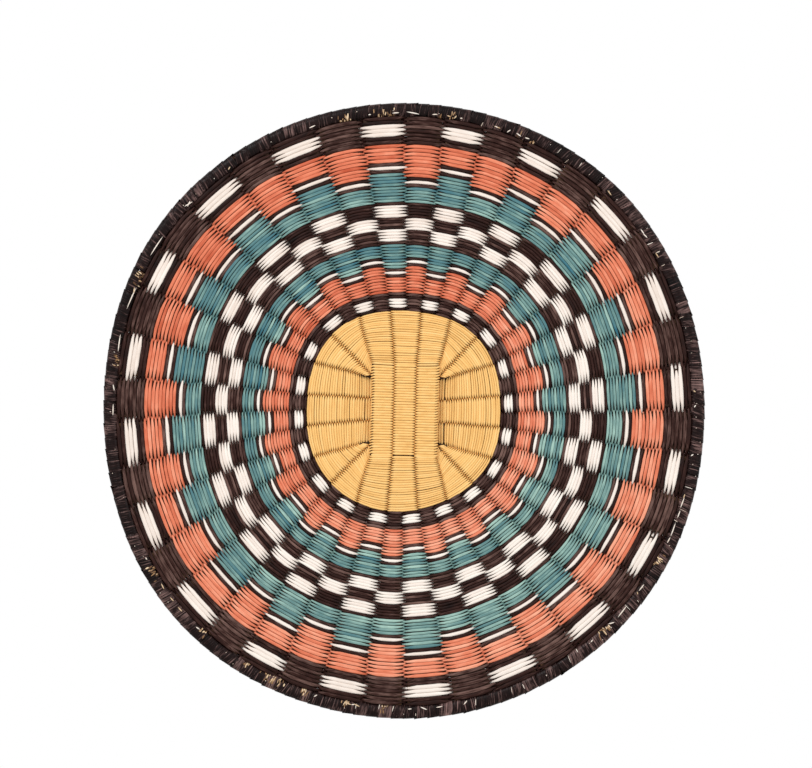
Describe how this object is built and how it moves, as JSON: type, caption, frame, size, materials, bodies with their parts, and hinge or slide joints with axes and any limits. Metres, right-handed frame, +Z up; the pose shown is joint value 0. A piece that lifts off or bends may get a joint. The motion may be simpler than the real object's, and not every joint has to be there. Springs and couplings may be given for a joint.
{
  "type": "wicker plaque",
  "caption": "Round flat wicker plaque: forked radial spokes, coloured wefts woven over and under them, crossed centre panels and a wrapped rim.",
  "frame": {"origin": "on the back, in the middle of the rear centre panel, where the plaque bears on a wall", "axes": "+Y out of the back towards the wall, so the face looks along -Y; +Z up; +X to the right seen from the front"},
  "size_m": [0.3236, 0.0115, 0.3326],
  "materials": {
    "white": "natural cream-white rod, satin",
    "black": "brown-black dyed rod, satin",
    "coral": "coral dyed rod, satin",
    "teal": "blue-green dyed rod, satin",
    "yellow": "natural yellow rod, satin",
    "stick": "peeled stick, matt",
    "strip": "near-black dyed leaf strip, satin"
  },
  "bodies": {
    "root": {"corner_spoke_1": "stick", "corner_spoke_2": "stick", "corner_spoke_3": "stick", "corner_spoke_4": "stick", "corner_spoke_5": "stick", "corner_spoke_6": "stick", "corner_spoke_7": "stick", "corner_spoke_8": "stick", "front_panel_weft": "yellow", "level_bundle_1": "stick", "level_bundle_2": "stick", "level_bundle_3": "stick", "rear_panel_weft": "yellow", "rim_core": "stick", "rim_wrap": "strip", "upright_bundle_1": "stick", "upright_bundle_2": "stick", "upright_bundle_3": "stick", "weft_centre_1": "yellow", "weft_centre_2": "yellow", "weft_centre_3": "yellow", "weft_centre_4": "yellow", "weft_dark_1_black": "black", "weft_dark_2_coral": "coral", "weft_dark_3_teal": "teal", "weft_dark_4_black": "black", "weft_dark_5_white": "white", "weft_dark_6_black": "black", "weft_dark_7_teal": "teal", "weft_dark_8_coral": "coral", "weft_dark_9_black": "black", "weft_light_1_white": "white", "weft_light_2_coral": "coral", "weft_light_3_teal": "teal", "weft_light_4_white": "white", "weft_light_5_black": "black", "weft_light_6_white": "white", "weft_light_7_teal": "teal", "weft_light_8_coral": "coral", "weft_light_9_white": "white"}
  },
  "joints": []
}
